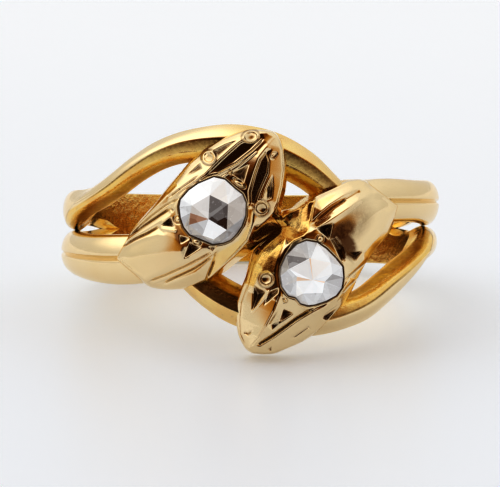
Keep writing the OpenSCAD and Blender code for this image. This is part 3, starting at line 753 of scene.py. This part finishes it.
def lower_relief():
    """The lower head's engraving."""
    r = Relief([LOWER_LEFT, LOWER_RIGHT, *LOWER_FOLDS.values()])
    r.blur(0.45)
    r.blur(3, [(320, 232), (337, 217.6), (350, 208.6), (360, 201.6), (369, 196.4), (385.7, 198), (393, 207),
        (376, 232), (357, 248), (342, 244), (330, 238)])
    r.blur(2, [(357, 184), (372, 183), (377, 192), (370, 200), (358, 199)])
    r.groove([(314, 222.4), (333.4, 206.8), (346, 199)], 2.4, 0.14)
    r.rib([(314.2, 200.4), (312.4, 211), (310.8, 219.4)], 1.6, 0.06)
    # Rough cast patches by the notch and on the left plate, coloured with painted bounce light.
    r.cast_and_bounce_patch([(316, 201), (330, 195), (338, 193), (328, 203), (314, 216)], 0.3)
    r.cast_and_bounce_patch([(316, 200), (305, 200), (296, 206), (284, 209), (279, 216), (280, 236), (290, 246),
        (300, 240), (309, 232), (314, 217)], 0.6)
    r.cast_and_bounce_patch([(244, 284), (249, 262), (262, 246), (280, 232), (288, 236), (278, 262), (275, 274),
        (260, 274), (254, 288)], 0.72)
    # Painted shade: the dark notch, the shade between the two heads, and the dark side of the shield.
    r.shade_patch((295, 221), 15, 10, 70, 0.3)
    r.shade_patch((268, 262), 26, 11, -60, 0.2)
    r.shade_patch((343, 232), 23, 14, -38, 1)
    r.shade_patch((347.6, 245), 19, 11, 72, 1.4)
    r.shade_patch((354, 224), 32, 19, -52, 0.4)
    r.pit([(315.4, 227.6), (333.8, 222.2), (329.4, 240)], 0.34, 4.4)
    r.bead((320.6, 238.9), 3.6, 0.22)
    r.pit([(330.6, 239), (334.4, 238.6), (343, 247), (345, 260.4), (341.4, 261)], 0.28, 3.4)
    r.rib([(336, 238), (344.6, 248), (346.2, 258)], 1.8, 0.12)
    r.pit([(346.8, 252.2), (363.2, 250.6), (355, 262.2)], 0.3, 3.8)
    r.rib([(346.4, 251), (347.6, 256), (353.6, 262.6)], 2, 0.1)
    r.groove([(344.6, 280), (354.6, 271.4), (367, 261)], 2.6, 0.16)
    r.groove([(340, 295), (349, 285.4), (358.4, 277)], 2.6, 0.12)
    r.groove([(253.9, 262), (246.4, 290), (242, 302.5), (240.2, 320.4), (241, 333.8),
        (247, 347.1)], 1.4, 0.05)
    r.ring((266.4, 279.3), 7.9, 5.4, 0.12, 0.09)
    r.pit([(253.6, 284.2), (260, 288.4), (266.6, 291.4), (251.8, 311.8)], 0.3, 4.6)
    r.pit([(269.4, 291.6), (279, 287.4), (278, 293.4), (263.2, 306)], 0.24, 3)
    r.rib([(269, 291.4), (262, 301), (252.4, 311.4)], 2, 0.06)
    r.groove([(280.2, 292.6), (273.6, 311), (265.8, 325.6), (258, 338.4), (248.4, 348.2)], 1.3, 0.06)
    r.pit([(283.4, 308.6), (294.4, 313.4), (279, 322.6)], 0.33, 4.2)
    r.bead((285.4, 300.6), 2.2, 0.12)
    r.groove([(312.5, 309.4), (295.9, 318.8), (272.6, 335.7), (258, 345)], 2.1, 0.17)
    r.groove([(244.8, 332.4), (248, 334.6), (251.4, 331.4)], 2, 0.14)
    r.pit([(266.8, 349.4), (272, 345.8), (272, 351)], 0.23, 3)
    r.pit([(322.2, 318.9), (324, 315.4), (338.2, 307.6), (327, 320.9)], 0.26, 2)
    r.groove([(321.4, 317.2), (330, 310.4), (340, 303.2)], 1.4, 0.08)
    r.groove([(290.4, 339.3), (299, 333.4), (308.4, 326.8), (312.8, 331.2)], 1.5, 0.09)
    r.pit([(283, 262.4), (287.6, 250.6), (293.2, 242), (304, 237), (299, 243.4), (289.4, 254)], 0.28, 3.2)
    r.rib([(336, 301.6), (344, 290.6), (347.4, 280)], 1.6, 0.05)
    r.seat(LOWER_GIRDLE, 1.83, 0.02)
    r.blur(0.48)
    return r


# Stones

GIRDLE_H = 2.40
GIRDLE_T = 0.16
STAR_RISE = 0.56
APEX_RISE = 0.85
BASE_DEPTH = 0.35
BASE_SHARE = 0.9
GIRDLE_REFLECTED_TONE = 0.3
BASE_REFLECTED_TONE = 0.2


def stone(name, node, girdle, star, apex, star_reflections, belt_reflections):
    """A rose-cut stone: star facets round the apex and a belt of facets down to the girdle.
    Each facet has a tone of painted reflection, from what the real one reflects or shows of its bed. A tone
    over 1 is a painted peach glint and one below 0 a painted reddish brown of that depth."""
    middle = np.mean(girdle, axis=0)
    angle0 = seen_at(middle[0], middle[1], GIRDLE_H)[0]

    def level(pixels, height):
        """Points of the plane at a height above the finger hole, as the photo pixels show them."""
        px, py = np.array(pixels, float).reshape(-1, 2).T
        h = np.full(px.shape, height)
        for _ in range(4):
            angle, z = seen_at(px, py, h)
            h = (BORE_R + height) / np.cos(angle - angle0) - BORE_R
        return around(angle, h, z)

    rim = level(girdle, GIRDLE_H)
    stars = level(star, GIRDLE_H + STAR_RISE)
    top = level([apex], GIRDLE_H + APEX_RISE)
    out = np.array([math.sin(angle0), -math.cos(angle0), 0])
    centre = rim.mean(0)
    low = rim - out * GIRDLE_T
    base = centre + (rim - centre) * BASE_SHARE - out * (GIRDLE_T + BASE_DEPTH)
    points = np.vstack([top, stars, rim, low, base])
    n, m = len(rim), len(stars)
    first = 1 + m
    faces, reflected_tones = [], []

    def facet(reflected_tone, *corners):
        faces.append(list(corners))
        reflected_tones.append(reflected_tone)

    def turns(pixels):
        """How far round the stone's middle each pixel is, as numbers of the unit circle."""
        x, y = (np.array(pixels, float) - middle).T
        return np.exp(1j * np.arctan2(y, x))

    near = [int(np.argmin(np.abs(np.angle(turns(girdle) / turn)))) for turn in turns(star)]
    for i in range(m):
        facet(star_reflections[i], 0, 1 + i, 1 + (i + 1) % m)
    for i in range(m):
        a, b = near[i], near[(i + 1) % m]
        step = 1 if ((b - a) % n) <= n / 2 else -1
        count = (step * (b - a)) % n
        ring = [first + (a + step * k) % n for k in range(count + 1)]
        half = count // 2
        facet(belt_reflections[i][1], 1 + i, ring[half], 1 + (i + 1) % m)
        for k in range(count):
            tip, reflected_tone = (i, belt_reflections[i][0]) if k < half else ((i + 1) % m, belt_reflections[i][2])
            facet(reflected_tone * (1 if k % 2 else 0.9), 1 + tip, ring[k], ring[k + 1])
    for k in range(2):
        for i in range(n):
            a, b = first + k * n + i, first + k * n + (i + 1) % n
            facet(GIRDLE_REFLECTED_TONE, a, b, b + n, a + n)
    facet(BASE_REFLECTED_TONE, *range(first + 2 * n, first + 3 * n))
    whole = points.mean(0)
    for k, face in enumerate(faces):
        p = points[face]
        normal = np.cross(p[1] - p[0], p[2] - p[0])
        if normal @ (p.mean(0) - whole) < 0:
            faces[k] = face[::-1]
    obj = piece(name, points, faces, STONE, "stone")
    layer = obj.data.attributes.new("reflected_tone", "FLOAT", "FACE")
    layer.data.foreach_set("value", np.array(reflected_tones, np.float32))
    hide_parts(node)


# Materials

class Nodes:
    """Short calls for the node tree of a material or a world."""

    def __init__(self, owner):
        owner.use_nodes = True
        self.tree = owner.node_tree
        self.tree.nodes.clear()

    def add(self, kind, inputs=None, **settings):
        node = self.tree.nodes.new(kind)
        for key, value in settings.items():
            setattr(node, key, value)
        for key, value in (inputs or {}).items():
            if isinstance(value, bpy.types.NodeSocket):
                self.tree.links.new(value, node.inputs[key])
            else:
                node.inputs[key].default_value = value
        return node

    def math(self, operation, a, b=0.0, clamp=False):
        return self.add("ShaderNodeMath", {0: a, 1: b}, operation=operation, use_clamp=clamp).outputs[0]

    def times(self, a, b):
        return self.math("MULTIPLY", a, b)

    def plus(self, a, b):
        return self.math("ADD", a, b)

    def mix(self, factor, a, b):
        return self.add("ShaderNodeMix", {0: factor, 6: a, 7: b}, data_type="RGBA").outputs[2]

    def noise(self, vector, scale, detail=3.0, rough=0.55):
        inputs = {"Vector": vector, "Scale": scale, "Detail": detail, "Roughness": rough}
        return self.add("ShaderNodeTexNoise", inputs).outputs[0]

    def ramp(self, value, low, high):
        inputs = {0: value, 1: low, 2: high}
        return self.add("ShaderNodeMapRange", inputs, interpolation_type="SMOOTHSTEP").outputs[0]

    def facing(self, way, towards):
        """1 where a direction goes one way, 0 at right angles to it."""
        node = self.add("ShaderNodeVectorMath", {0: way, 1: towards}, operation="DOT_PRODUCT")
        return node.outputs["Value"]

    def attribute(self, name):
        return self.add("ShaderNodeAttribute", attribute_name=name).outputs["Fac"]

    def bump(self, height, strength, distance, normal=None):
        inputs = {"Height": height, "Strength": strength, "Distance": distance}
        if normal is not None:
            inputs["Normal"] = normal
        return self.add("ShaderNodeBump", inputs).outputs[0]

    def surface(self, inputs):
        """Ends a material's tree with its one shader."""
        shader = self.add("ShaderNodeBsdfPrincipled", inputs)
        self.add("ShaderNodeOutputMaterial", {"Surface": shader.outputs[0]})


def rgb(r, g, b):
    return (r, g, b, 1.0)


def new_material(name):
    """A new material and its nodes."""
    material = bpy.data.materials.new(name)
    return material, Nodes(material)


def gold_material():
    """Worn yellow gold: bright faces with hairline scratches, and rougher cast walls in a deeper orange that
    is painted bounce light. Hollows and creases are darkened with patina and painted shade.
    """
    material, t = new_material("worn_gold")
    place = t.add("ShaderNodeTexCoord").outputs["Object"]
    shade_and_patina = t.attribute("shade_and_patina")
    cast = t.attribute("cast")
    cloud = t.noise(place, 420.0, 2.0)
    grain = t.noise(place, 6500.0, 4.0, 0.65)
    scratched = {"Vector": place, "Rotation": (0.4, 0.7, 0.5), "Scale": (1.0, 14.0, 14.0)}
    stretched = t.add("ShaderNodeMapping", scratched)
    hair = t.noise(stretched.outputs[0], 2300.0, 3.0, 0.6)
    face = t.mix(cloud, rgb(0.91, 0.77, 0.53), rgb(0.88, 0.71, 0.43))
    blotch = t.ramp(t.noise(place, 900.0, 3.0, 0.55), 0.30, 0.75)
    # Rough walls and facets in a deeper, saturated orange: painted bounce light between gold faces.
    bounce_walls = t.mix(blotch, rgb(1.0, 0.75, 0.22), rgb(0.92, 0.56, 0.11))
    specks = t.times(t.ramp(t.noise(place, 3000.0, 4.0, 0.7), 0.58, 0.72), 0.55)
    bounce_walls = t.mix(specks, bounce_walls, rgb(0.44, 0.20, 0.035))
    # Where the share is highest, on the arches' low inner sides, darker still: painted shade.
    shaded_bounce = t.mix(blotch, rgb(0.92, 0.55, 0.085), rgb(0.74, 0.37, 0.04))
    bounce_walls = t.mix(t.ramp(cast, 0.80, 1.0), bounce_walls, shaded_bounce)
    colour = t.mix(cast, face, bounce_walls)
    # Patina and painted shade in hollows and creases, patchy, towards a deep brown.
    patchy = t.plus(0.62, t.times(t.ramp(grain, 0.25, 0.65), 0.38))
    shade_and_patina_share = t.math("MULTIPLY", shade_and_patina, patchy, clamp=True)
    colour = t.mix(t.times(shade_and_patina_share, 0.90), colour, rgb(0.14, 0.048, 0.008))
    rough_cast = t.times(cast, cast)
    rough = t.plus(0.10, t.times(t.ramp(hair, 0.45, 0.75), 0.10))
    rough = t.plus(rough, t.times(rough_cast, 0.15))
    rough = t.plus(rough, t.times(shade_and_patina_share, 0.25))
    fine = t.bump(hair, 0.05, 0.00002)
    pitted = t.bump(t.times(t.noise(place, 2800.0, 4.0, 0.6), rough_cast), 0.6, 0.0001, fine)
    wavy = t.bump(cloud, 0.25, 0.0001, pitted)
    # The reflection's tint darkens with the same patina and painted shade.
    edge = t.mix(shade_and_patina_share, rgb(1.0, 0.97, 0.92), rgb(0.40, 0.18, 0.06))
    t.surface({"Base Color": colour, "Metallic": 1.0, "Roughness": rough, "Specular Tint": edge,
               "Normal": wavy})
    return material


def stone_material():
    """A clear old stone over a foiled bed. Its facets' colours are painted reflections, from white through
    grey to a warm brown, with painted glints, and the stone glows a little with painted light.
    """
    material, t = new_material("rose_cut_stone")
    reflected_tone = t.attribute("reflected_tone")
    place = t.add("ShaderNodeTexCoord").outputs["Object"]
    # Cells of painted reflection inside each facet.
    reflection_cells = t.add("ShaderNodeTexVoronoi", {"Vector": place, "Scale": 1300.0}).outputs["Color"]
    patch = t.add("ShaderNodeSeparateXYZ", {0: reflection_cells}).outputs[0]
    cloud = t.noise(place, 900.0, 4.0, 0.6)
    # Small white painted glints.
    glints = t.ramp(t.noise(place, 6500.0, 2.0, 0.5), 0.64, 0.70)
    depth = t.times(t.math("SUBTRACT", patch, 0.5), 0.34)
    shown = t.math("ADD", reflected_tone, t.times(depth, t.math("SUBTRACT", 1.15, reflected_tone)), clamp=True)
    light = t.mix(cloud, rgb(0.95, 0.98, 1.0), rgb(0.87, 0.90, 0.93))
    dark = t.mix(cloud, rgb(0.10, 0.055, 0.04), rgb(0.025, 0.015, 0.012))
    colour = t.mix(shown, dark, light)
    colour = t.mix(t.times(glints, 0.22), colour, rgb(0.95, 0.98, 1.0))
    # A tone over 1 turns to a painted peach glint, one below 0 to a painted reddish brown.
    colour = t.mix(t.ramp(reflected_tone, 1.1, 1.3), colour, rgb(0.86, 0.70, 0.57))
    brown = t.mix(patch, rgb(0.24, 0.12, 0.085), rgb(0.46, 0.30, 0.24))
    colour = t.mix(t.ramp(reflected_tone, -0.05, -0.2), colour, brown)
    body = t.mix(0.35, colour, rgb(0.0, 0.0, 0.0))
    # The emission is painted light: the stone glows with its painted reflections.
    t.surface({"Base Color": body, "Roughness": 0.05, "IOR": 2.2, "Emission Color": colour,
               "Emission Strength": 0.56})
    return material


def floor_material():
    """A pale smooth table that glows with painted light, painted a little lighter towards the back."""
    material, t = new_material("glowing_pale_table")
    apart = t.add("ShaderNodeSeparateXYZ", {0: t.add("ShaderNodeTexCoord").outputs["Object"]})
    depth = t.ramp(apart.outputs[1], -0.02, 0.10)
    colour = t.mix(depth, rgb(0.61, 0.632, 0.665), rgb(0.635, 0.655, 0.68))
    # The emission is painted light, which lifts the shadow round the ring.
    t.surface({"Base Color": colour, "Roughness": 0.42, "Emission Color": colour, "Emission Strength": 0.48})
    return material


# The ring

GOLD = gold_material()
STONE = stone_material()


def gold_piece(name, rings, shade_and_patina_share, cast, end_cast_and_bounce, sharp_deg):
    """A lofted piece of the gold. The middle points of its two ends carry neither patina nor painted shade.
    """
    values = {"cast": np.append(cast, [end_cast_and_bounce] * 2), "shade_and_patina": np.append(shade_and_patina_share, [0, 0])}
    return piece(name, *loft(rings), GOLD, "gold", sharp_deg=sharp_deg, values=values)


body = gold_piece("upper_body", *body_rings(UPPER_BODY, False), 1, 28)
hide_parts("gold_ring")
gold_piece("lower_body", *body_rings(LOWER_BODY, True), 1, 28)

gold_piece("upper_head", *head_rings(upper_relief(), UPPER_LEFT, UPPER_RIGHT), 0, 62)
gold_piece("lower_head", *head_rings(lower_relief(), LOWER_LEFT, LOWER_RIGHT), 0, 62)

stone("upper_stone", "stone_upper", UPPER_GIRDLE,
      [(209.8, 195), (228, 204.2), (226.8, 229.9), (213.9, 239.4), (202.5, 235.5), (189, 224.9), (190.4, 213),
       (191.9, 205.4)], (208.5, 219.1),
      [0.26, 0.05, 0.97, 0.95, 0.55, -0.45, 0.62, 0.8],
      [(1, 0.95, 0.92), (0.56, 0.52, 0.45), (0.42, 0.45, 0.4), (0.42, 0.5, 0.45), (0.42, 0.52, 0.45),
       (0.48, 0.38, 0.45), (0.75, 0.6, 0.8), (0.9, 0.95, 1)])
stone("lower_stone", "stone_lower", LOWER_GIRDLE,
      [(309.2, 258.4), (310.8, 258.2), (331, 263), (332.5, 274), (325.2, 281.4), (324.4, 283), (322.5, 293),
       (303, 293.5), (296.6, 281), (297, 276.6), (289, 269)], (312.8, 280.2),
      [1.5, 0.98, 0.94, 0.86, 1.5, 1, 0.98, 0.94, 1.5, 1, 0.95],
      [(0.66, 0.66, 0.7), (0.7, 0.9, 0.8), (0.8, 0.74, 0.66), (0.58, 0.32, 0.54), (0.56, 0.62, 0.56),
       (0.62, 0.56, 0.62), (0.56, 0.62, 0.68), (0.7, 0.95, 0.7), (0.72, 0.68, 0.74), (0.74, 0.66, 0.6),
       (0.52, 0.16, 0.56)])


# The table, the light and the camera

FLOOR_HALF = 0.7
FLOOR_MIDDLE_Y = 0.2

mesh = bpy.data.meshes.new("table_top")
mesh.from_pydata([(x * FLOOR_HALF, y * FLOOR_HALF + FLOOR_MIDDLE_Y, 0)
                  for x, y in ((-1, -1), (1, -1), (1, 1), (-1, 1))], [], [(0, 1, 2, 3)])
FLOOR = new_object("table_top", mesh, floor_material())


def light_tent():
    """A white tent round the ring, open and dark round the camera."""
    world = bpy.data.worlds.new("light_tent")
    bpy.context.scene.world = world
    t = Nodes(world)
    way = t.add("ShaderNodeTexCoord").outputs["Generated"]
    apart = t.add("ShaderNodeSeparateXYZ", {0: way})
    opening = t.facing(way, (0.0, -0.955, 0.296))
    colour = t.mix(t.ramp(apart.outputs[2], -0.1, 0.9), rgb(0.66, 0.665, 0.67), rgb(0.80, 0.81, 0.82))
    brown, amber, black = rgb(0.53, 0.31, 0.075), rgb(0.21, 0.078, 0.010), rgb(0.03, 0.011, 0.003)
    for low, high, reflected_tone in ((0.42, 0.66, brown), (0.60, 0.80, amber), (0.80, 0.94, black)):
        colour = t.mix(t.ramp(opening, low, high), colour, reflected_tone)
    glow = t.ramp(t.facing(way, (-0.56, 0.10, 0.82)), 0.66, 0.96)
    colour = t.mix(glow, colour, rgb(1.22, 1.22, 1.20))
    background = t.add("ShaderNodeBackground", {"Color": colour, "Strength": 1.22})
    t.add("ShaderNodeOutputWorld", {"Surface": background.outputs[0]})


light_tent()

scene = bpy.context.scene
camera_data = bpy.data.cameras.new("photo_camera")
camera_data.sensor_width = 36.0
camera_data.lens = FOCAL_PIXELS / PHOTO_W * camera_data.sensor_width
camera_data.shift_y = -(PHOTO_H / 2 - CENTRE_IN_PHOTO[1]) / PHOTO_W
camera_data.clip_start = 0.01
camera = bpy.data.objects.new("photo_camera", camera_data)
ahead = Vector(AT_REST @ np.array([0, 1, 0]))
up = Vector(AT_REST @ np.array([0, 0, 1]))
side = ahead.cross(up)
eye = Vector(RING_CENTRE * MM) - ahead * VIEW_DISTANCE * MM
camera.matrix_world = Matrix.Translation(eye) @ Matrix((side, up, -ahead)).transposed().to_4x4()
scene.collection.objects.link(camera)
scene.camera = camera
scene.render.resolution_x = PHOTO_W
scene.render.resolution_y = PHOTO_H
scene.view_settings.view_transform = "Standard"
scene.view_settings.gamma = 0.62
